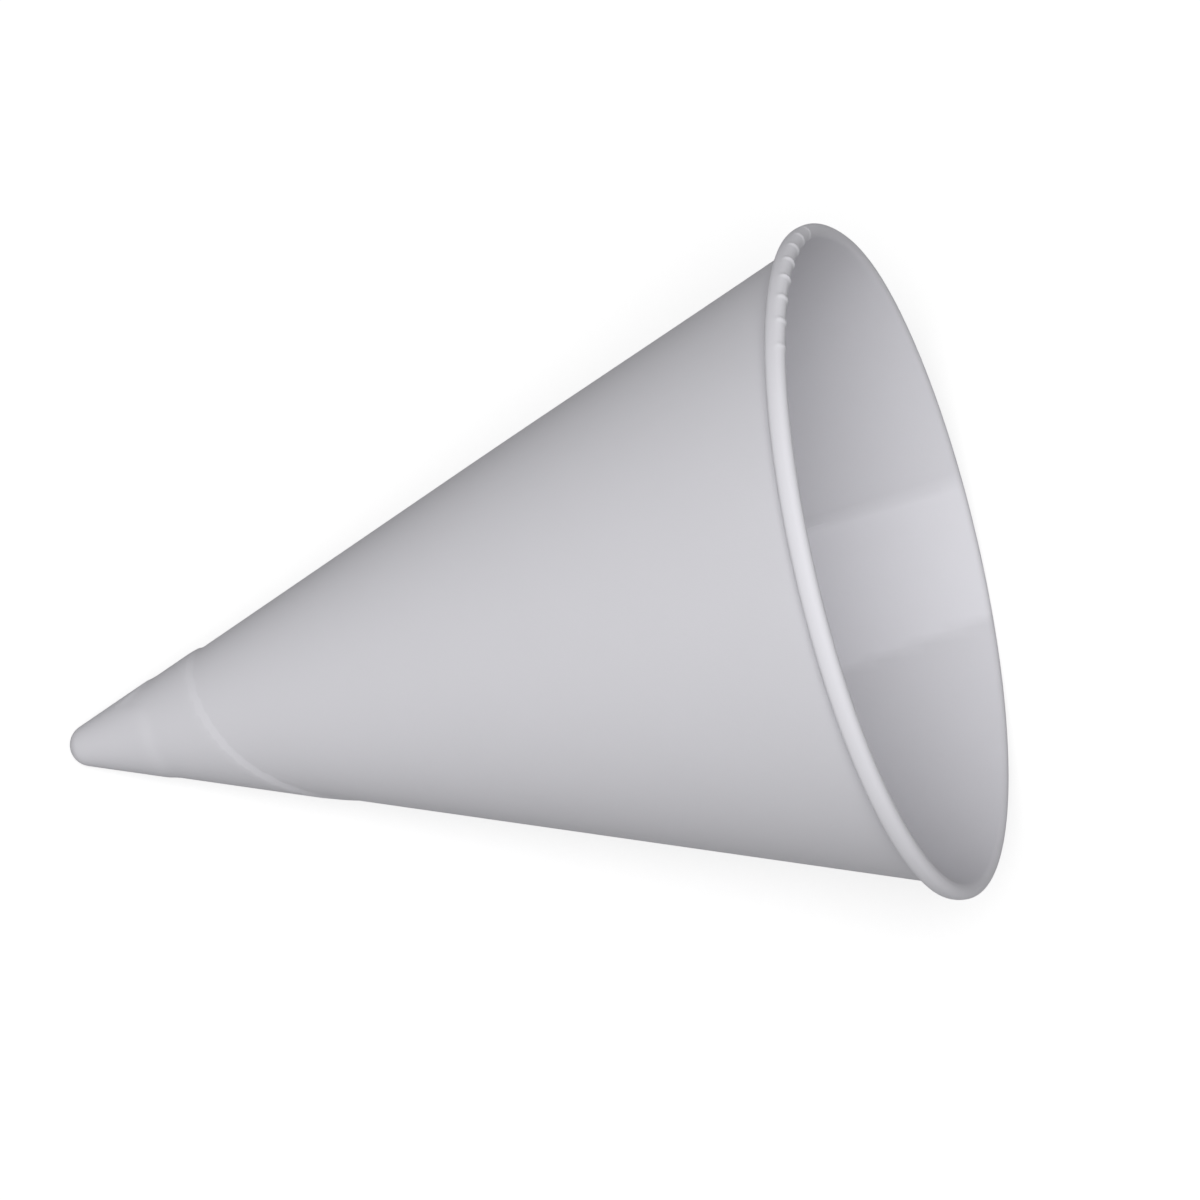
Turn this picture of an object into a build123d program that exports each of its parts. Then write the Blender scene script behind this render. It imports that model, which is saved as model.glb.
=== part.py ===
"""Cone paper cup: one wound sheet with a rounded tip, a glued overlap and a rolled rim.

Millimetres and degrees. The cup lies on its side on Z = 0, mouth towards +X, resting on the
underside of its tip and on its rolled rim, with the glued overlap underneath.
"""

import os
from math import asin, atan2, cos, degrees, hypot, radians, sin

from build123d import *

os.makedirs("parts", exist_ok=True)

# The sheet and the cone that it is wound into
paper = 0.28  # thickness of the paper
half_angle = 19.5  # between the cup's axis and its wall
mouth_radius = 33.7  # inside of the wall where it starts to flare into the rim
tip_radius = 1.6  # inside of the rounded tip

# The flare at the mouth, and the rim that is rolled outwards from it
flare_radius = 5.0  # on the inside of the wall
flare_angle = 15.0
roll_radius = 1.2  # outermost turn of the roll
roll_gap = 0.06  # air between two turns of the roll

# The overlap. The inner edge of the sheet runs straight down the cone, and the sheet is wound
# from there once round and over itself. Its outer edge is straight in the flat sheet, so on the
# cone it curves in towards the tip and once round it.
seam_bearing = 25.5  # of the inner edge, round the axis from the line that the cup lies on
overlap = 15.0  # width of the double strip at the mouth
edge_distance = 20.7  # nearest that the outer edge comes to the cone's point
ramp_width = 1.3  # over which the sheet climbs onto its own inner edge
tuck = 0.3  # how far the overlap's top end stays short of the roll
bond = 0.1  # depth to which layers that are glued together share their material

# The tip, where further turns of the sheet lie under the outer one
swell = 0.15  # that they add to the outside
swell_start = 12.5  # along the wall from the cone's point
swell_end = 15.5

# The soft paper is pressed flat where the rim bears on the surface that it lies on
rest_flat = 0.06


def along(angle: float) -> Vector:
    """Direction up a wall that leans out by this angle, as radius and height."""
    return Vector(sin(radians(angle)), cos(radians(angle)))


def out_of(angle: float) -> Vector:
    """Outward normal of a wall that leans out by this angle, as radius and height."""
    return Vector(cos(radians(angle)), -sin(radians(angle)))


# Places in the section, as radius and height above the cone's inner point
lip_angle = half_angle + flare_angle
wall_length = mouth_radius / sin(radians(half_angle))
wall_top = along(half_angle) * wall_length
flare_centre = wall_top + out_of(half_angle) * flare_radius
roll_centre = flare_centre - out_of(lip_angle) * (flare_radius - roll_radius)
tip_centre = Vector(0, tip_radius / sin(radians(half_angle)))

# How the cup lies: a line under the tip's sphere and the roll's circle is the surface
tip_outside = tip_radius + 2 * paper + swell
tip_to_roll = roll_centre - tip_centre
drop = degrees(asin((tip_outside - roll_radius + rest_flat) / hypot(tip_to_roll.X, tip_to_roll.Y)))
lean = degrees(atan2(tip_to_roll.X, tip_to_roll.Y)) - drop
axis_direction = Vector(cos(radians(lean)), 0, sin(radians(lean)))
down = Vector(sin(radians(lean)), 0, -cos(radians(lean)))
back = tip_centre.Y * axis_direction.X - tip_outside
front = roll_centre.Y * axis_direction.X + roll_centre.X * down.X + roll_radius
point = Vector(-(back + front) / 2, 0, tip_outside - tip_centre.Y * axis_direction.Z)
cup_frame = Plane(origin=point, x_dir=down, z_dir=axis_direction)
cup_axis = Axis(point, axis_direction)


def section(bearing: float) -> Plane:
    """Plane through the cup's axis at a bearing: x is the radius and y is the height."""
    outward = cup_frame.x_dir.rotate(Axis((0, 0, 0), axis_direction), bearing)
    return Plane(origin=point, x_dir=outward, z_dir=outward.cross(axis_direction))


def on_wall(distance: float, layer: float) -> Vector:
    """Place at this distance up the wall, this far outside the inside of the sheet."""
    return along(half_angle) * distance + out_of(half_angle) * layer


def wall_plane(bearing: float, distance: float) -> Plane:
    """Plane across the wall on its inside: x is the way that the sheet is wound, y is outwards."""
    across = section(bearing)
    inside = across.from_local_coords(along(half_angle) * distance)
    return Plane(origin=inside, x_dir=across.z_dir, z_dir=inside - point)


def tip_arc(layer: float) -> JernArc:
    """Rounded tip, this far outside the inside of the sheet, from the axis to the wall."""
    radius = tip_radius + layer
    return JernArc(tip_centre - Vector(0, radius), (1, 0), radius, 90 - half_angle)


def flare_arc(layer: float, angle: float) -> JernArc:
    """Flare above the straight wall, turned through this angle."""
    return JernArc(on_wall(wall_length, layer), along(half_angle), flare_radius - layer, -angle)


def sheet_face(layer: float) -> JernArc:
    """Tip, wall, flare and roll in one line. The second half turn of the roll is tighter, so that
    the end of the sheet goes inside the wall."""
    tip = tip_arc(layer)
    flare = flare_arc(layer, flare_angle)
    Line(tip @ 1, flare @ 0)
    over = JernArc(flare @ 1, flare % 1, roll_radius - layer, -180)
    return JernArc(over @ 1, over % 1, roll_radius - (paper + roll_gap) / 2 - layer, -180)


# The outer edge of the sheet, a straight line in the flat sheet
slant = wall_length + radians(flare_angle) * flare_radius
edge_slope = degrees(asin(edge_distance / slant) - asin(overlap / slant))


def edge_point(turned: float, layer: float) -> Vector:
    """Point of the outer edge after the sheet has turned this many degrees, at a height above the
    first layer's outside."""
    flat_angle = radians(turned * sin(radians(half_angle)) + edge_slope)
    height = paper / sin(radians(half_angle))
    place = along(half_angle) * (edge_distance / sin(flat_angle)) + out_of(half_angle) * layer
    lifted = Vector(place.X, 0, place.Y - height).rotate(Axis.Z, seam_bearing - turned)
    return cup_frame.from_local_coords(lifted)


edge_steps = 40
first_turned = 0.6 * degrees(overlap / mouth_radius)  # starts above the overlap's top end
last_turned = 360 + 10  # ends past its first full turn
turn_step = (last_turned - first_turned) / edge_steps
edge_turns = [first_turned + turn_step * step for step in range(edge_steps + 1)]
with BuildLine() as edge_inside:
    Spline(*[edge_point(turned, -2 * bond) for turned in edge_turns])
with BuildLine() as edge_outside:
    Spline(*[edge_point(turned, paper + 2 * bond) for turned in edge_turns])
edge_cut = Face.make_surface_from_curves(edge_inside.edge(), edge_outside.edge())

# Second layer of paper, half a turn at a time: what lies on the tip's side of the outer edge
cap_end = (swell_end + edge_distance) / 2
climb_start = edge_distance / sin(radians(360 * sin(radians(half_angle)) + edge_slope))
climb_length = slant - climb_start - tuck
tuck_angle = flare_angle - degrees(tuck / flare_radius)
second_layer = []
for half in (0, 1):
    with BuildPart() as band:
        with BuildSketch(section(seam_bearing - 180 * half)):
            with BuildLine():
                inside = flare_arc(paper - bond, tuck_angle)
                outside = flare_arc(2 * paper, tuck_angle)
                start = Line(on_wall(cap_end, paper - bond), on_wall(cap_end, 2 * paper))
                Line(start @ 0, inside @ 0)
                Line(start @ 1, outside @ 0)
                Line(inside @ 1, outside @ 1)
            make_face()
        revolve(axis=cup_axis, revolution_arc=-180)
    pieces = band.part.split(edge_cut, keep=Keep.ALL)
    second_layer.append(pieces.sort_by(cup_axis)[0])

with BuildPart() as paper_cup:
    # First layer, from the tip to the end of the roll
    with BuildSketch(section(0)):
        with BuildLine():
            inside = sheet_face(0)
            outside = sheet_face(paper)
            Line(inside @ 1, outside @ 1)
            Line(tip_centre - Vector(0, tip_radius), tip_centre - Vector(0, tip_radius + paper))
        make_face()
    revolve(axis=cup_axis)
    # Second layer at the tip, with the further turns that swell it
    with BuildSketch(section(0)):
        with BuildLine():
            inside = tip_arc(paper - bond)
            outside = tip_arc(2 * paper + swell)
            swollen = Line(outside @ 1, on_wall(swell_start, 2 * paper + swell))
            level = Line(on_wall(swell_end, 2 * paper), on_wall(cap_end, 2 * paper))
            Line(swollen @ 1, level @ 0)
            Polyline(level @ 1, on_wall(cap_end, paper - bond), inside @ 1)
            Line(inside @ 0, outside @ 0)
        make_face()
    revolve(axis=cup_axis)
    add(second_layer)
    # Ramp where the sheet climbs onto its own inner edge, from where the outer edge has gone round
    with BuildSketch(wall_plane(seam_bearing, climb_start)):
        Polygon((0, paper - bond), (0, 2 * paper), (-ramp_width, paper - bond), align=None)
    extrude(amount=climb_length)
    # The groove that this leaves inside, along the inner edge
    with BuildSketch(wall_plane(seam_bearing, climb_start)):
        Polygon((0, -2 * bond), (0, paper), (-ramp_width, -bond), (-ramp_width, -2 * bond), align=None)
    extrude(amount=climb_length, mode=Mode.SUBTRACT)
    # Flat spot under the rim
    split(bisect_by=Plane.XY, keep=Keep.TOP)

paper_cup.part.label = "paper_cup"
export_step(paper_cup.part, "parts/paper_cup.step")
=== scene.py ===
"""Cone paper cup, dressed for rendering.

The cup is made as its maker makes it. A flat blank is cut and given its thickness, the overlap is
laid double on it, and then it is wound up into a cone with a rounded tip and a rolled rim.
Sizes are in metres and angles in degrees unless a name says otherwise.
"""

import logging
from dataclasses import dataclass
from enum import Enum
from math import asin, atan2, cos, degrees, hypot, pi, radians, sin, tan
from typing import Callable

import bpy
import numpy as np
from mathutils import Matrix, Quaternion, Vector


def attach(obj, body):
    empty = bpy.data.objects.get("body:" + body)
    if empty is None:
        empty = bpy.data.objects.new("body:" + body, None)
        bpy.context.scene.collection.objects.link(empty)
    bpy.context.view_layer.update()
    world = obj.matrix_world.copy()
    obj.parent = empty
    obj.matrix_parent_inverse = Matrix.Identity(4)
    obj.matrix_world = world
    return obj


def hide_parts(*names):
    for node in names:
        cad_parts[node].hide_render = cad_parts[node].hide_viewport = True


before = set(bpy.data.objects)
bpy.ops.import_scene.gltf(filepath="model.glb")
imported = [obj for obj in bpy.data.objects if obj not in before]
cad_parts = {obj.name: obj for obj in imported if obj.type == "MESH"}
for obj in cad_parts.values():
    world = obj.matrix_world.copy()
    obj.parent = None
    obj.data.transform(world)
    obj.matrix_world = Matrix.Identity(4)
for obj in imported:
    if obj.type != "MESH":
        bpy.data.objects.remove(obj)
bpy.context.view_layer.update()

log = logging.getLogger("cone_cup")
MM = 0.001
WELD = 0.001 * MM  # vertices closer than this are one
FLAT_MAP = "flat_sheet"  # UV map that keeps the places in the flat sheet
UV_SIZE = 100 * MM  # length of the flat sheet that is 1 in that map
DOUBLED_AND_ROLL_HIGHLIGHT = "doubled_and_roll_highlight"  # attribute that says how far the paper lies double, and how far the roll is lightened, which is partly a painted highlight


class Sum(Enum):
    """Sums that a shader node can work out."""

    DIFFERENCE = "SUBTRACT"
    PRODUCT = "MULTIPLY"
    PRODUCT_PLUS = "MULTIPLY_ADD"
    LARGER = "MAXIMUM"


def smooth_step(value: np.ndarray) -> np.ndarray:
    """Soft change from 0 to 1 as the value goes from 0 to 1."""
    held = np.clip(value, 0.0, 1.0)
    return held * held * (3.0 - 2.0 * held)


def bump_at(place: float, width: float, bearing: np.ndarray) -> np.ndarray:
    """Soft bump of height 1 round a bearing, in degrees, that fades over this width."""
    off = (bearing - place + 180.0) % 360.0 - 180.0
    return np.exp(-((off / width) ** 2))


def fresh_start() -> None:
    """Leaves edit mode and deselects every object."""
    if bpy.context.object and bpy.context.object.mode != "OBJECT":
        bpy.ops.object.mode_set(mode="OBJECT")
    bpy.ops.object.select_all(action="DESELECT")


def edit(piece: bpy.types.Object) -> None:
    """Opens a piece in edit mode, as the only object selected.

    Args:
        piece: the mesh object to open.
    """
    fresh_start()
    piece.select_set(True)
    bpy.context.view_layer.objects.active = piece
    bpy.ops.object.mode_set(mode="EDIT")


def places(piece: bpy.types.Object) -> np.ndarray:
    """Reads where a piece's vertices are.

    Args:
        piece: a mesh object in object mode.

    Returns:
        The places, one row each.
    """
    found = np.empty(len(piece.data.vertices) * 3)
    piece.data.vertices.foreach_get("co", found)
    return found.reshape(-1, 3)


def move_to(piece: bpy.types.Object, spots: np.ndarray) -> None:
    """Puts a piece's vertices at new places, one row each."""
    piece.data.vertices.foreach_set("co", spots.astype(np.float32).ravel())
    piece.data.update()


def pick_faces(
    piece: bpy.types.Object, test: Callable[[np.ndarray, np.ndarray], np.ndarray]
) -> None:
    """Selects faces by their place and normal, and leaves the piece in edit mode.

    Args:
        piece: the mesh object to look at.
        test: takes the faces' centres and normals, one row each, and says which to pick.
    """
    bpy.ops.object.mode_set(mode="OBJECT")
    mesh = piece.data
    count = len(mesh.polygons)
    centres = np.empty(count * 3)
    normals = np.empty(count * 3)
    mesh.polygons.foreach_get("center", centres)
    mesh.polygons.foreach_get("normal", normals)
    picked = test(centres.reshape(-1, 3), normals.reshape(-1, 3))
    mesh.vertices.foreach_set("select", np.zeros(len(mesh.vertices), bool))
    mesh.edges.foreach_set("select", np.zeros(len(mesh.edges), bool))
    mesh.polygons.foreach_set("select", picked)
    bpy.context.tool_settings.mesh_select_mode = (False, False, True)
    bpy.ops.object.mode_set(mode="EDIT")


def picked_vertices(piece: bpy.types.Object) -> np.ndarray:
    """Leaves edit mode and tells which vertices are selected.

    Args:
        piece: the mesh object that is open in edit mode.

    Returns:
        True for each vertex that is selected.
    """
    bpy.ops.object.mode_set(mode="OBJECT")
    chosen = np.empty(len(piece.data.vertices), bool)
    piece.data.vertices.foreach_get("select", chosen)
    return chosen


def sum_of(
    tree: bpy.types.NodeTree, kind: Sum, *values: float | bpy.types.NodeSocket
) -> bpy.types.NodeSocket:
    """Adds a node that works out a sum.

    Args:
        tree: the node tree that gets the node.
        kind: the sum.
        values: what goes into it, each a number or the output of another node.

    Returns:
        The node's output.
    """
    node = tree.nodes.new("ShaderNodeMath")
    node.operation = kind.value
    for socket, value in zip(node.inputs, values):
        if isinstance(value, bpy.types.NodeSocket):
            tree.links.new(value, socket)
        else:
            socket.default_value = value
    return node.outputs["Value"]


@dataclass(frozen=True)
class Stretch:
    """One arc or straight stretch of the sheet's section, followed up from the tip.

    The lean is the angle between the cup's axis and the sheet, and it grows where the sheet turns
    outwards. The radius is negative where it turns inwards, and zero on a straight stretch.
    """

    start: float
    length: float
    radius: float
    lean: float
    foot: tuple[float, float]

    @property
    def end(self) -> float:
        """Distance along the sheet at which the stretch ends."""
        return self.start + self.length

    @property
    def centre(self) -> tuple[float, float]:
        """Radius and height of the centre that the stretch bends round."""
        lean = radians(self.lean)
        return self.foot[0] + self.radius * cos(lean), self.foot[1] - self.radius * sin(lean)

    def lean_at(self, distance: np.ndarray) -> np.ndarray:
        """Lean of the sheet in radians at distances along it."""
        bend = (distance - self.start) / self.radius if self.radius else 0.0 * distance
        return radians(self.lean) + bend

    def section_at(self, distance: np.ndarray) -> tuple[np.ndarray, np.ndarray]:
        """Follows the inside of the sheet.

        Args:
            distance: places on the stretch, as distances along the sheet.

        Returns:
            The radius and the height of each.
        """
        lean = self.lean_at(distance)
        first = radians(self.lean)
        if self.radius:
            out = self.radius * (cos(first) - np.cos(lean))
            up = self.radius * (np.sin(lean) - sin(first))
        else:
            out = (distance - self.start) * sin(first)
            up = (distance - self.start) * cos(first)
        return self.foot[0] + out, self.foot[1] + up

    def then(self, length: float, radius: float) -> "Stretch":
        """Carries the section on in the direction in which this stretch ends.

        Args:
            length: of the next stretch, along the sheet.
            radius: that it bends with.

        Returns:
            The next stretch.
        """
        end = np.array([self.end])
        out, up = self.section_at(end)
        lean = degrees(float(self.lean_at(end)[0]))
        return Stretch(self.end, length, radius, lean, (float(out[0]), float(up[0])))


def fibre_group() -> bpy.types.NodeTree:
    """Node group for the look of paper: a cloudy tone, and the height of its fibres.

    Returns:
        A group with the inputs Vector, Cloud Scale, Cloud and Fibre Scale, and the outputs Tone,
        which varies around 1, and Height, from 0 to 1.
    """
    group = bpy.data.node_groups.new("paper_fibres", "ShaderNodeTree")
    sockets = group.interface.new_socket
    sockets("Vector", in_out="INPUT", socket_type="NodeSocketVector")
    for name in ("Cloud Scale", "Cloud", "Fibre Scale"):
        sockets(name, in_out="INPUT", socket_type="NodeSocketFloat")
    for name in ("Tone", "Height"):
        sockets(name, in_out="OUTPUT", socket_type="NodeSocketFloat")
    join = group.links.new
    given = group.nodes.new("NodeGroupInput")
    result = group.nodes.new("NodeGroupOutput")
    clouds = group.nodes.new("ShaderNodeTexNoise")
    clouds.inputs["Detail"].default_value = 4.0
    join(given.outputs["Vector"], clouds.inputs["Vector"])
    join(given.outputs["Cloud Scale"], clouds.inputs["Scale"])
    centred = sum_of(group, Sum.DIFFERENCE, clouds.outputs["Fac"], 0.5)
    tone = sum_of(group, Sum.PRODUCT_PLUS, centred, given.outputs["Cloud"], 1.0)
    join(tone, result.inputs["Tone"])
    fibres = group.nodes.new("ShaderNodeTexNoise")
    fibres.inputs["Detail"].default_value = 6.0
    fibres.inputs["Distortion"].default_value = 1.5
    join(given.outputs["Vector"], fibres.inputs["Vector"])
    join(given.outputs["Fibre Scale"], fibres.inputs["Scale"])
    join(fibres.outputs["Fac"], result.inputs["Height"])
    return group


@dataclass(frozen=True)
class PaperFinish:
    """Uncoated white paper, whose clouds and fibres follow the flat sheet."""

    name: str
    colour: tuple[float, float, float]
    # How much lighter the paper is where the attribute is 1: where it lies double, and on the
    # roll, where this is partly a painted highlight
    lighter_doubled_and_roll_highlight: float = 0.12
    cloud: float = 0.02
    cloud_scale: float = 14.0
    fibre_scale: float = 420.0
    fibre_height: float = 0.012 * MM
    roughness: float = 0.82
    gloss: float = 0.25

    def make(self, fibres: bpy.types.NodeTree) -> bpy.types.Material:
        """Builds the material.

        Args:
            fibres: the shared node group that draws paper fibres.

        Returns:
            The finished material.
        """
        material = bpy.data.materials.new(self.name)
        material.use_nodes = True
        tree = material.node_tree
        join = tree.links.new
        shader = tree.nodes["Principled BSDF"]
        shader.inputs["Roughness"].default_value = self.roughness
        shader.inputs["Specular IOR Level"].default_value = self.gloss
        flat = tree.nodes.new("ShaderNodeUVMap")
        flat.uv_map = FLAT_MAP
        texture = tree.nodes.new("ShaderNodeGroup")
        texture.node_tree = fibres
        texture.inputs["Cloud Scale"].default_value = self.cloud_scale
        texture.inputs["Cloud"].default_value = self.cloud
        texture.inputs["Fibre Scale"].default_value = self.fibre_scale
        join(flat.outputs["UV"], texture.inputs["Vector"])
        # The attribute lightens the paper where it lies double, and on the roll, where it is
        # partly a painted highlight
        doubled_and_roll_highlight = tree.nodes.new("ShaderNodeAttribute")
        doubled_and_roll_highlight.attribute_name = DOUBLED_AND_ROLL_HIGHLIGHT
        how_far = doubled_and_roll_highlight.outputs["Fac"]
        plain_tone = texture.outputs["Tone"]
        tone = sum_of(tree, Sum.PRODUCT_PLUS, how_far, self.lighter_doubled_and_roll_highlight, plain_tone)
        tint = tree.nodes.new("ShaderNodeVectorMath")
        tint.operation = "SCALE"
        tint.inputs[0].default_value = self.colour
        join(tone, tint.inputs["Scale"])
        join(tint.outputs["Vector"], shader.inputs["Base Color"])
        bump = tree.nodes.new("ShaderNodeBump")
        bump.inputs["Distance"].default_value = self.fibre_height
        join(texture.outputs["Height"], bump.inputs["Height"])
        join(bump.outputs["Normal"], shader.inputs["Normal"])
        return material


@dataclass
class PaperCup:
    """The cup: one sheet of paper, wound once round and over itself.

    A distance follows the sheet from the cone's point. A bearing goes round the axis from the line
    that the cup lies on, and a turned angle goes the other way, from the sheet's inner edge.
    """

    # The sheet, and the cone that it is wound into
    paper: float = 0.28 * MM
    half_angle: float = 19.5
    mouth_radius: float = 34.0 * MM
    tip_radius: float = 1.6 * MM
    finish: PaperFinish = PaperFinish("white_paper", (0.766, 0.76, 0.8))
    smooth_angle: float = 35.0

    # The flare at the mouth, then the bends of the rolled rim: its top, its face and its lip
    flare_radius: float = 5.0 * MM
    flare_angle: float = 4.0
    roll_radius: float = 0.8 * MM
    roll_turn: float = 156.0
    face_radius: float = 2.2 * MM
    face_turn: float = 25.0
    lip_radius: float = 0.62 * MM
    lip_turn: float = 140.0
    lip_margin: float = 0.02 * MM  # within this of the lip's end, the blank keeps its edge wall
    roll_layers_and_highlight: float = 0.95  # how far the roll is lightened: partly as double paper for its layers, partly as a painted highlight

    # The overlap, whose outer edge is straight in the flat sheet
    seam_bearing: float = 25.5
    overlap: float = 15.0 * MM  # width of the double strip at the mouth
    edge_distance: float = 20.7 * MM  # nearest that the outer edge comes to the cone's point
    ramp_width: float = 1.3 * MM  # over which the sheet climbs onto its own inner edge
    tuck: float = 0.1 * MM  # how far the overlap's top end stays short of the roll
    tone_width: float = 1.2 * MM  # over which the paper's tone changes at an edge
    edge_soft: float = 0.65 * MM  # how far the foot of the outer edge leans out
    edge_spread: float = 3.0  # times that, over which the paper beyond the edge is drawn along
    edge_bow: float = 0.2  # share of the paper by which the edge's top is rounded
    edge_fade: float = 2.0 * MM  # from the ramp to where the outer edge is fully soft
    seam_soft: float = 1.2  # turned angle by which the foot of the inner edge leans out
    groove_fade: float = 14.0 * MM  # over which the groove fades out under the rim
    groove_least: float = 0.03  # share of its depth that is left there

    # The further turns that swell the tip, and end sooner on one side
    swell: float = 0.15 * MM
    swell_distance: float = 14.9 * MM  # where the swelling ends
    swell_slope: float = 1.6 * MM
    swell_before: float = 0.7  # share of the slope that lies before the swelling's end
    swell_short: float = 2.9 * MM  # how much sooner it ends on that side
    short_bearing: float = 145.0
    short_width: float = 18.0

    # The soft paper: flat where the cup bears, dented at one place of the mouth, and pleated
    rest_flat: float = 0.06 * MM
    dent: float = 0.65 * MM
    dent_bearing: float = 98.0
    dent_width: float = 20.0
    dent_start: float = 0.55  # share of the wall's length below which it isn't dented
    pleats: int = 8
    pleat_start: float = 116.0
    pleat_pitch: float = 5.6
    pleat_width: float = 1.8
    pleat_height: float = 0.17 * MM
    pleat_rise: float = 0.4 * MM  # length over which a pleat rises, up to the roll's start
    pleat_length: float = 2.0 * MM  # from a pleat's start to where it begins to fade
    pleat_fade: float = 0.8 * MM

    # How finely the flat sheet is divided
    fine_beyond: float = 12.0 * MM  # how far the finer rows go beyond the swelling
    plain_step: float = 2.2  # turned angle of one step round the cup
    pleat_steps: int = 6

    def __post_init__(self) -> None:
        """Works out the section of the sheet, and where its edges lie in the flat."""
        wall = self.mouth_radius / sin(radians(self.half_angle))
        tangent = self.tip_radius / tan(radians(self.half_angle))
        arc = self.tip_radius * radians(90.0 - self.half_angle)
        pole_height = self.tip_radius / sin(radians(self.half_angle)) - self.tip_radius
        self.tip = Stretch(tangent - arc, arc, -self.tip_radius, 90.0, (0.0, pole_height))
        self.wall = self.tip.then(wall - tangent, 0.0)
        flare_length = self.flare_radius * radians(self.flare_angle)
        self.flare = self.wall.then(flare_length, self.flare_radius)
        self.over = self.flare.then(self.roll_radius * radians(self.roll_turn), self.roll_radius)
        self.face = self.over.then(self.face_radius * radians(self.face_turn), self.face_radius)
        self.under = self.face.then(self.lip_radius * radians(self.lip_turn), self.lip_radius)
        self.section = (self.tip, self.wall, self.flare, self.over, self.face, self.under)
        self.fan = sin(radians(self.half_angle))
        self.fan_end = 2.0 * pi * self.fan
        slant = self.flare.end
        self.edge_slope = asin(self.edge_distance / slant) - asin(self.overlap / slant)
        self.climb_start = self.edge_distance / sin(self.fan_end + self.edge_slope)
        roll_low = self.under.foot[1] - self.lip_radius * (1.0 + sin(radians(self.under.lean)))
        roll_depth = (self.over.foot[1] - roll_low) / cos(radians(self.half_angle))
        self.overlap_end = slant - roll_depth - self.tuck
        self.lay_down()

    def lay_down(self) -> None:
        """Works out how the cup lies: on its tip and its rim, with the origin under its middle."""
        roll_out, roll_up = self.over.centre
        face_out, face_up = self.face.centre
        tip_up = self.tip_radius / sin(radians(self.half_angle))
        tip_outside = self.tip_radius + 2.0 * self.paper + self.swell
        reach = hypot(face_out, face_up - tip_up)
        drop = asin((tip_outside - self.face_radius + self.rest_flat) / reach)
        lean = atan2(face_out, face_up - tip_up) - drop
        self.axis = Vector((cos(lean), 0.0, sin(lean)))
        self.down = Vector((sin(lean), 0.0, -cos(lean)))
        self.side = Vector((0.0, 1.0, 0.0))
        back = tip_up * self.axis.x - tip_outside
        front = roll_up * self.axis.x + roll_out * self.down.x + self.roll_radius
        self.point = Vector((-(back + front) / 2.0, 0.0, tip_outside - tip_up * self.axis.z))

    def rows(self) -> list[float]:
        """Shares the flat sheet out into rows of vertices, from the tip to the lip.

        Returns:
            The distance of each row, in rising order.
        """
        fine_end = self.swell_distance + self.fine_beyond
        least_gap = 10.0 * WELD
        found = [self.climb_start, self.overlap_end]
        # Each run of rows: where it starts, where it ends, and how many rows it has
        for start, end, count in (
            (self.tip.start, self.tip.end, 10),
            (self.tip.end, fine_end, 36),
            (fine_end, self.wall.end, 46),
            (self.flare.start, self.flare.end, 7),
            (self.over.start, self.over.end, 15),
            (self.face.start, self.face.end, 6),
            (self.under.start, self.under.end, 9),
        ):
            found.extend(np.linspace(start, end, count))
        found.sort()
        kept = found[:1]
        for row in found[1:]:
            if row - kept[-1] > least_gap:
                kept.append(row)
        return kept

    def pleat_places(self) -> list[float]:
        """Turned angle of each pleat, in rising order."""
        last = (self.seam_bearing - self.pleat_start) % 360.0
        return [last - self.pleat_pitch * step for step in reversed(range(self.pleats))]

    def columns(self) -> list[tuple[float, int]]:
        """Shares one turn of the sheet out into spins, with finer steps across the pleats.

        Returns:
            The turned angle and the number of steps of each spin.
        """
        half = self.pleat_width / 2.0
        turns = []
        reached = 0.0
        for place in self.pleat_places():
            gap = place - half - reached
            turns.append((gap, max(2, round(gap / self.plain_step))))
            turns.append((self.pleat_width, self.pleat_steps))
            reached = place + half
        turns.append((360.0 - reached, round((360.0 - reached) / self.plain_step)))
        return turns

    def past_edge(self, spots: np.ndarray) -> np.ndarray:
        """How far places in the flat sheet lie beyond the line of its outer edge."""
        along = spots[:, 0] * sin(self.edge_slope) + spots[:, 1] * cos(self.edge_slope)
        return along - self.edge_distance

    def before_end(self, spots: np.ndarray) -> np.ndarray:
        """How far places in the flat sheet lie before the line where its first turn ends."""
        return spots[:, 0] * sin(self.fan_end) - spots[:, 1] * cos(self.fan_end)

    def cut_blank(self) -> bpy.types.Object:
        """Spreads out the flat sheet, one turn of it, and cuts the lines of its edges into it.

        Returns:
            A mesh object in the plane Z = 0, with the cone's point at the origin.
        """
        fresh_start()
        bpy.ops.mesh.primitive_plane_add(size=1.0)
        blank = bpy.context.object
        blank.name = "cup_paper"
        bpy.ops.object.mode_set(mode="EDIT")
        bpy.ops.mesh.merge(type="CENTER")
        rows = self.rows()
        bpy.ops.transform.translate(value=(rows[0], 0.0, 0.0))
        for near, far in zip(rows, rows[1:]):
            step = {"value": (far - near, 0.0, 0.0)}
            bpy.ops.mesh.extrude_region_move(TRANSFORM_OT_translate=step)
        bpy.ops.mesh.select_all(action="SELECT")
        for angle, steps in self.columns():
            bpy.ops.mesh.spin(
                steps=steps, angle=radians(angle) * self.fan, center=(0, 0, 0), axis=(0, 0, -1)
            )
        edge_normal = Vector((sin(self.edge_slope), cos(self.edge_slope), 0.0))
        end_normal = Vector((sin(self.fan_end), -cos(self.fan_end), 0.0))
        for normal, offset in ((edge_normal, self.edge_distance), (end_normal, self.ramp_width)):
            bpy.ops.mesh.select_all(action="SELECT")
            bpy.ops.mesh.bisect(plane_co=normal * offset, plane_no=normal, threshold=WELD)
        return blank

    def inner_wall(self, centres: np.ndarray, normals: np.ndarray) -> np.ndarray:
        """Walls round the blank, but not the one at the end of the lip."""
        distance = np.hypot(centres[:, 0], centres[:, 1])
        return (abs(normals[:, 2]) < 0.5) & (distance < self.under.end - self.lip_margin)

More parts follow.
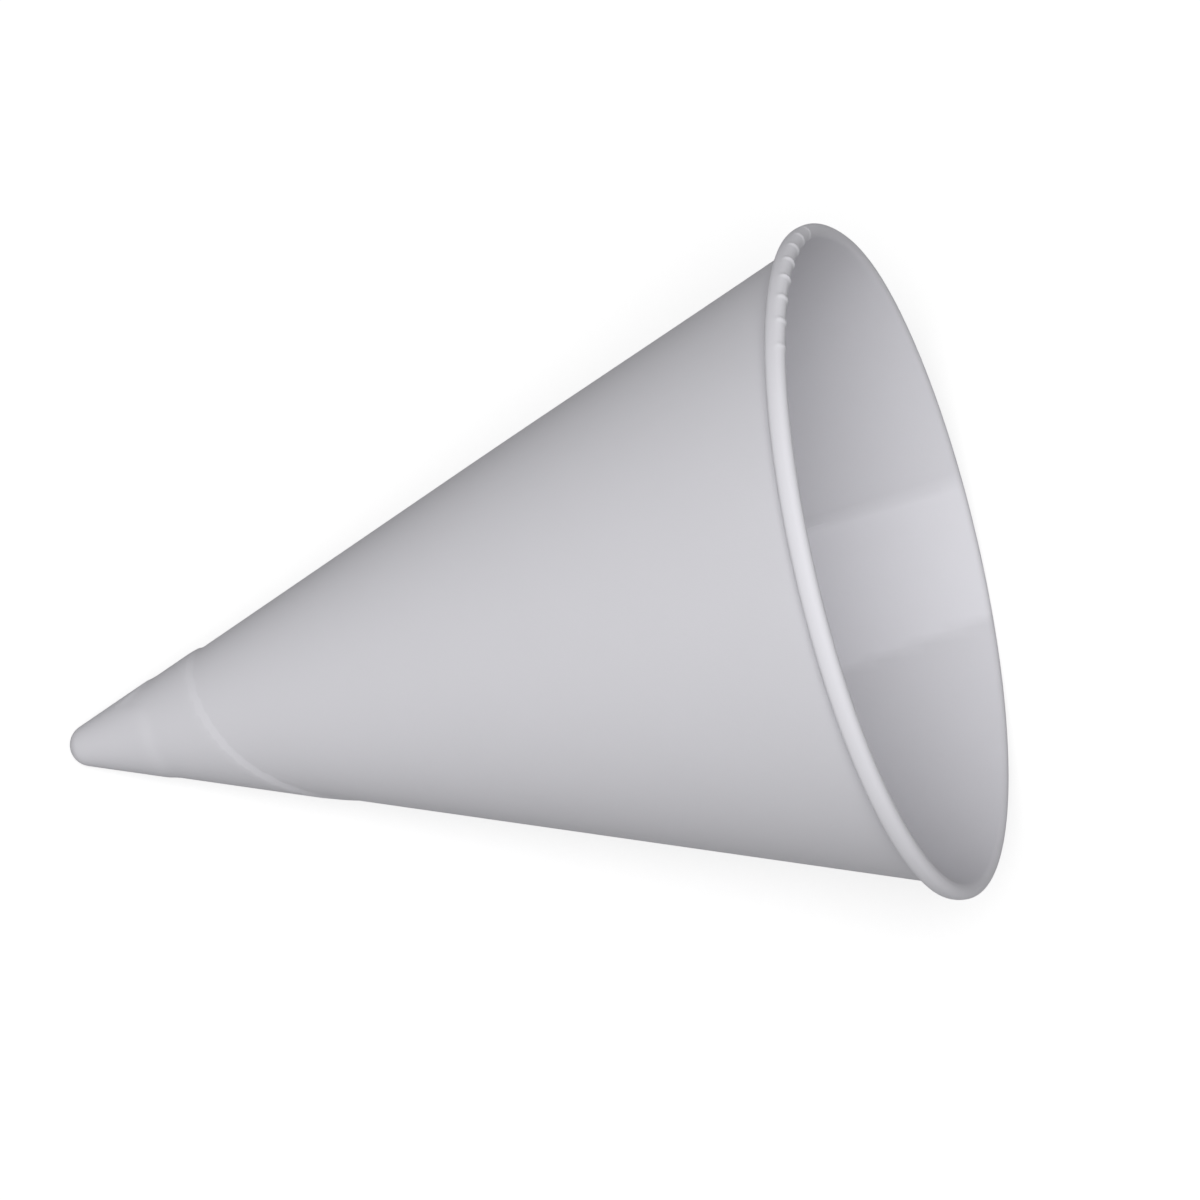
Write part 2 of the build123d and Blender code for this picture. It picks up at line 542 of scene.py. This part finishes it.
    def second_layer(self, centres: np.ndarray, normals: np.ndarray) -> np.ndarray:
        """Outside faces on the tip's side of the outer edge, and those of the ramp.

        Args:
            centres: of the faces, one row each.
            normals: of the faces, one row each.

        Returns:
            True for each face that the sheet's second turn covers.
        """
        covered = (self.past_edge(centres) < 0.0) | (self.before_end(centres) < self.ramp_width)
        short = np.hypot(centres[:, 0], centres[:, 1]) < self.overlap_end
        outside = (abs(normals[:, 2]) > 0.5) & (centres[:, 2] > self.paper / 2.0)
        return outside & covered & short

    def groove(self, centres: np.ndarray, normals: np.ndarray) -> np.ndarray:
        """Inside faces where the sheet has left the wall to climb over its inner edge.

        Args:
            centres: of the faces, one row each.
            normals: of the faces, one row each.

        Returns:
            True for each face of the groove's floor.
        """
        distance = np.hypot(centres[:, 0], centres[:, 1])
        climbing = (distance > self.climb_start) & (distance < self.overlap_end)
        inside = (abs(normals[:, 2]) > 0.5) & (centres[:, 2] < self.paper / 2.0)
        return inside & climbing & (self.before_end(centres) < self.ramp_width)

    def end_walls(self, centres: np.ndarray, normals: np.ndarray) -> np.ndarray:
        """Walls of the second layer where the two ends of the turn will meet."""
        at_end = (abs(centres[:, 1]) < WELD) | (abs(self.before_end(centres)) < WELD)
        return at_end & (abs(normals[:, 2]) < 0.5) & (centres[:, 2] > self.paper * 1.1)

    def lay_double(self, sheet: bpy.types.Object) -> None:
        """Gives the flat sheet its thickness, its second layer and the groove at its inner edge.

        Args:
            sheet: the blank, which is left in object mode.
        """
        thicken = {"value": (0.0, 0.0, self.paper)}
        bpy.ops.mesh.select_all(action="SELECT")
        bpy.ops.mesh.extrude_region_move(TRANSFORM_OT_translate=thicken)
        pick_faces(sheet, self.inner_wall)
        bpy.ops.mesh.delete(type="FACE")
        for region, fades in ((self.second_layer, False), (self.groove, True)):
            pick_faces(sheet, region)
            bpy.ops.mesh.extrude_region_move(TRANSFORM_OT_translate=thicken)
            raised = picked_vertices(sheet)
            spots = places(sheet)
            left = self.before_end(spots)
            ramp = raised & (self.past_edge(spots) > WELD) & (left < self.ramp_width + WELD)
            spots[ramp, 2] -= self.paper * left[ramp] / self.ramp_width
            if fades:
                to_end = self.overlap_end - np.hypot(spots[raised, 0], spots[raised, 1])
                depth = smooth_step(to_end / self.groove_fade)
                spots[raised, 2] *= self.groove_least + (1.0 - self.groove_least) * depth
            move_to(sheet, spots)
        pick_faces(sheet, self.end_walls)
        bpy.ops.mesh.delete(type="FACE")
        bpy.ops.object.mode_set(mode="OBJECT")

    def soften_edges(self, sheet: bpy.types.Object) -> None:
        """Leans the steps at the sheet's two edges over, as soft pressed paper has them.

        Args:
            sheet: the flat sheet, with its second layer.
        """
        spots = places(sheet)
        beyond = self.past_edge(spots)
        reach = self.edge_spread * self.edge_soft
        level = abs(spots[:, 2] - self.paper) < WELD
        near = level & (beyond > -WELD) & (beyond < reach)
        full = smooth_step((self.before_end(spots) - self.ramp_width) / self.edge_fade)
        shift = self.edge_soft * full * (1.0 - beyond / reach)
        edge_normal = np.array((sin(self.edge_slope), cos(self.edge_slope)))
        spots[near, :2] += shift[near, None] * edge_normal
        top = (spots[:, 2] > 1.5 * self.paper) & (beyond < WELD)
        bow = smooth_step(1.0 + beyond / self.edge_soft) * full
        spots[top, 2] -= self.edge_bow * self.paper * bow[top]
        distance = np.hypot(spots[:, 0], spots[:, 1])
        inside = abs(spots[:, 2]) < WELD
        inside &= (distance > self.climb_start) & (distance < self.under.start - WELD)
        turn = radians(self.seam_soft) * self.fan
        for on_line, angle in (
            (abs(spots[:, 1]) < WELD, turn),
            (abs(self.before_end(spots)) < WELD, self.fan_end + turn),
        ):
            moved = inside & on_line
            spots[moved, 0] = distance[moved] * cos(angle)
            spots[moved, 1] = distance[moved] * sin(angle)
        move_to(sheet, spots)

    def note_flat(self, sheet: bpy.types.Object) -> None:
        """Keeps the flat places as a UV map, and for the finish how far the paper lies double and
        how far the roll is lightened, partly as a painted highlight.

        Args:
            sheet: the flat sheet, before it is wound.
        """
        mesh = sheet.data
        spots = places(sheet)
        for extra in list(mesh.uv_layers):
            mesh.uv_layers.remove(extra)
        corners = np.empty(len(mesh.loops), int)
        mesh.loops.foreach_get("vertex_index", corners)
        flat = mesh.uv_layers.new(name=FLAT_MAP)
        flat.data.foreach_set("uv", (spots[corners, :2] / UV_SIZE).astype(np.float32).ravel())
        left = self.before_end(spots)
        covered = 1.0 - smooth_step(self.past_edge(spots) / self.tone_width + 0.5)
        covered = np.minimum(covered, smooth_step(spots[:, 1] / self.tone_width + 0.5))
        near_end = (abs(left) < self.tone_width) & (self.past_edge(spots) > 0.0)
        covered = np.where(near_end, smooth_step(0.5 - left / self.tone_width), covered)
        lift = self.paper * np.clip(1.0 - left / self.ramp_width, 0.0, 1.0)
        covered[spots[:, 2] > lift + self.paper / 2.0] = 0.0
        distance = np.hypot(spots[:, 0], spots[:, 1])
        rolled = smooth_step((distance - self.flare.start) / (self.over.end - self.flare.start))
        # The roll is lightened too: partly for its layers of paper, partly as a painted highlight
        covered = np.maximum(covered, self.roll_layers_and_highlight * rolled)
        doubled_and_roll_highlight = mesh.attributes.new(DOUBLED_AND_ROLL_HIGHLIGHT, "FLOAT", "POINT")
        doubled_and_roll_highlight.data.foreach_set("value", covered.astype(np.float32))

    def unevenness(
        self, turned: np.ndarray, distance: np.ndarray, height: np.ndarray
    ) -> np.ndarray:
        """How far the real sheet stands out from the even cone.

        Args:
            turned: angle from the sheet's inner edge, in degrees.
            distance: from the cone's point, along the sheet.
            height: above the inside of the sheet's first turn.

        Returns:
            A height to add, out of the cup on its wall.
        """
        short = bump_at(self.short_bearing, self.short_width, self.seam_bearing - turned)
        past_swell = distance - (self.swell_distance - self.swell_short * short)
        swelling = 1.0 - smooth_step(past_swell / self.swell_slope + self.swell_before)
        ridge = np.zeros_like(turned)
        for number, place in enumerate(self.pleat_places()):
            strength = sin(pi * (number + 1.0) / (self.pleats + 1.0)) ** 0.5
            across = (turned - place) / (self.pleat_width / 4.0)
            ridge += strength * np.exp(-(across**2))
        along = distance - (self.over.start - self.pleat_rise)
        ridge *= smooth_step(along / self.pleat_rise)
        ridge *= 1.0 - smooth_step((along - self.pleat_length) / self.pleat_fade)
        outside = height > self.paper / 2.0
        return np.where(outside, self.swell * swelling, -self.pleat_height * ridge)

    def wind(self, sheet: bpy.types.Object) -> None:
        """Winds the flat sheet up into the cone, and welds its turn together.

        Args:
            sheet: the flat sheet, with its second layer.
        """
        spots = places(sheet)
        distance = np.clip(np.hypot(spots[:, 0], spots[:, 1]), self.tip.start, self.under.end)
        turned = np.degrees(np.arctan2(spots[:, 1], spots[:, 0])) / self.fan
        height = spots[:, 2] + self.unevenness(turned, distance, spots[:, 2])
        radius = np.zeros_like(distance)
        rise = np.zeros_like(distance)
        for stretch in self.section:
            here = (distance >= stretch.start) & (distance <= stretch.end)
            out, up = stretch.section_at(distance[here])
            lean = stretch.lean_at(distance[here])
            radius[here] = out + height[here] * np.cos(lean)
            rise[here] = up - height[here] * np.sin(lean)
        bearing = self.seam_bearing - turned
        dented = self.dent * bump_at(self.dent_bearing, self.dent_width, bearing)
        undented = self.dent_start * self.wall.end
        radius -= dented * smooth_step((distance - undented) / (self.wall.end - undented))
        across = np.outer(np.cos(np.radians(bearing)), self.down)
        across += np.outer(np.sin(np.radians(bearing)), self.side)
        upwards = np.outer(rise, self.axis)
        move_to(sheet, np.array(self.point) + upwards + across * radius[:, None])
        edit(sheet)
        bpy.ops.mesh.select_mode(type="VERT")
        bpy.ops.mesh.select_all(action="SELECT")
        bpy.ops.mesh.remove_doubles(threshold=WELD)
        bpy.ops.mesh.delete_loose()
        bpy.ops.mesh.select_all(action="SELECT")
        bpy.ops.mesh.normals_make_consistent(inside=False)

    def press_flat(self, sheet: bpy.types.Object) -> None:
        """Presses the paper flat where the cup bears on the surface that it lies on.

        Args:
            sheet: the wound sheet, which is left in object mode.
        """
        bpy.ops.object.mode_set(mode="OBJECT")
        spots = places(sheet)
        spots[:, 2] = np.maximum(spots[:, 2], 0.0)
        move_to(sheet, spots)

    def build(self, fibres: bpy.types.NodeTree) -> bpy.types.Object:
        """Makes the cup and gives it its finish.

        Args:
            fibres: the shared node group that draws paper fibres.

        Returns:
            The finished piece.
        """
        sheet = self.cut_blank()
        self.lay_double(sheet)
        self.soften_edges(sheet)
        self.note_flat(sheet)
        self.wind(sheet)
        self.press_flat(sheet)
        bpy.ops.object.shade_smooth_by_angle(angle=radians(self.smooth_angle))
        sheet.data.materials.append(self.finish.make(fibres))
        return sheet


@dataclass
class Table:
    """The plain pale surface that the cup lies on."""

    radius: float = 3.0
    thickness: float = 0.03
    sides: int = 96
    colour: tuple[float, float, float] = (0.45, 0.45, 0.45)
    roughness: float = 0.9
    gloss: float = 0.1
    lift_to_white: float = 0.67  # light added for the camera alone

    def build(self) -> bpy.types.Object:
        """Makes a round slab, its top at Z = 0.

        Returns:
            The finished slab.
        """
        fresh_start()
        bpy.ops.mesh.primitive_circle_add(
            vertices=self.sides, radius=self.radius, fill_type="NGON"
        )
        slab = bpy.context.object
        slab.name = "table_top"
        bpy.ops.object.mode_set(mode="EDIT")
        thicken = {"value": (0.0, 0.0, -self.thickness)}
        bpy.ops.mesh.extrude_region_move(TRANSFORM_OT_translate=thicken)
        bpy.ops.mesh.select_all(action="SELECT")
        bpy.ops.mesh.normals_make_consistent(inside=False)
        bpy.ops.object.mode_set(mode="OBJECT")
        slab.data.materials.append(self.finish())
        return slab

    def finish(self) -> bpy.types.Material:
        """Makes a matt pale surface that the camera sees as white, with the cup's shadow kept.

        Returns:
            The finished material.
        """
        material = bpy.data.materials.new("pale_table")
        material.use_nodes = True
        tree = material.node_tree
        shader = tree.nodes["Principled BSDF"]
        shader.inputs["Base Color"].default_value = (*self.colour, 1.0)
        shader.inputs["Roughness"].default_value = self.roughness
        shader.inputs["Specular IOR Level"].default_value = self.gloss
        shader.inputs["Emission Color"].default_value = (1.0, 1.0, 1.0, 1.0)
        rays = tree.nodes.new("ShaderNodeLightPath")
        seen = sum_of(tree, Sum.PRODUCT, rays.outputs["Is Camera Ray"], self.lift_to_white)
        tree.links.new(seen, shader.inputs["Emission Strength"])
        return material


@dataclass(frozen=True)
class SoftLamp:
    """A round soft studio lamp, aimed at a point."""

    name: str
    size: float
    power: float
    bearing: float
    elevation: float
    distance: float
    target: tuple[float, float, float] = (0.0, 0.0, 0.03)

    def build(self) -> None:
        """Hangs the lamp at its bearing, elevation and distance from the target."""
        data = bpy.data.lights.new(self.name, "AREA")
        data.shape = "DISK"
        data.size = self.size
        data.energy = self.power
        lamp = bpy.data.objects.new(self.name, data)
        bpy.context.scene.collection.objects.link(lamp)
        turn = radians(self.bearing)
        rise = radians(self.elevation)
        away = Vector((sin(turn) * cos(rise), -cos(turn) * cos(rise), sin(rise)))
        lamp.location = Vector(self.target) + away * self.distance
        lamp.rotation_euler = (-away).to_track_quat("-Z", "Y").to_euler()


@dataclass
class Studio:
    """Light from all round, and a broad lamp overhead."""

    sky: float = 0.16
    overhead: SoftLamp = SoftLamp(
        name="overhead_lamp", size=0.8, power=9.8, bearing=-18.0, elevation=77.5, distance=1.1
    )

    def build(self) -> None:
        """Sets the light from all round, which the camera sees as white, and hangs the lamp."""
        world = bpy.data.worlds.new("pale_room")
        bpy.context.scene.world = world
        world.use_nodes = True
        tree = world.node_tree
        background = tree.nodes["Background"]
        background.inputs["Color"].default_value = (1.0, 1.0, 1.0, 1.0)
        rays = tree.nodes.new("ShaderNodeLightPath")
        camera_ray = rays.outputs["Is Camera Ray"]
        seen = sum_of(tree, Sum.LARGER, camera_ray, rays.outputs["Is Glossy Ray"])
        level = tree.nodes.new("ShaderNodeMapRange")
        level.inputs["To Min"].default_value = self.sky
        level.inputs["To Max"].default_value = 1.0
        tree.links.new(seen, level.inputs["Value"])
        tree.links.new(level.outputs["Result"], background.inputs["Strength"])
        self.overhead.build()


@dataclass
class PhotoCamera:
    """Camera at the photo's viewing angle, looking steeply down on the cup."""

    position: tuple[float, float, float] = (-12.32 * MM, -133.27 * MM, 544.2 * MM)
    heading: float = 8.334
    elevation: float = 75.234
    roll: float = -0.049
    lens_mm: float = 155.16
    sensor_mm: float = 36.0
    clip_start: float = 10.0 * MM

    def build(self) -> bpy.types.Object:
        """Places the camera and makes it the scene's own.

        Returns:
            The camera.
        """
        data = bpy.data.cameras.new("photo_camera")
        data.lens = self.lens_mm
        data.sensor_width = self.sensor_mm
        data.sensor_fit = "HORIZONTAL"
        data.clip_start = self.clip_start
        camera = bpy.data.objects.new("photo_camera", data)
        bpy.context.scene.collection.objects.link(camera)
        turn = radians(self.heading)
        rise = radians(self.elevation)
        forward = Vector((sin(turn) * cos(rise), cos(turn) * cos(rise), -sin(rise)))
        facing = forward.to_track_quat("-Z", "Y")
        camera.rotation_mode = "QUATERNION"
        camera.rotation_quaternion = Quaternion(forward, radians(self.roll)) @ facing
        camera.location = self.position
        bpy.context.scene.camera = camera
        return camera


def main() -> None:
    """Builds the cup, what it lies on, the light and the camera."""
    logging.basicConfig(level=logging.INFO, format="%(name)s: %(message)s")
    scene = bpy.context.scene
    scene.view_settings.view_transform = "Standard"
    cup = PaperCup().build(fibre_group())
    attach(cup, "root")
    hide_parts("paper_cup")
    log.info("%s: %d faces", cup.name, len(cup.data.polygons))
    table = Table().build()
    log.info("%s: %.1f m across", table.name, table.dimensions.x)
    Studio().build()
    camera = PhotoCamera().build()
    log.info("%s: %.0f mm lens", camera.name, camera.data.lens)


if __name__ == "__main__":
    main()
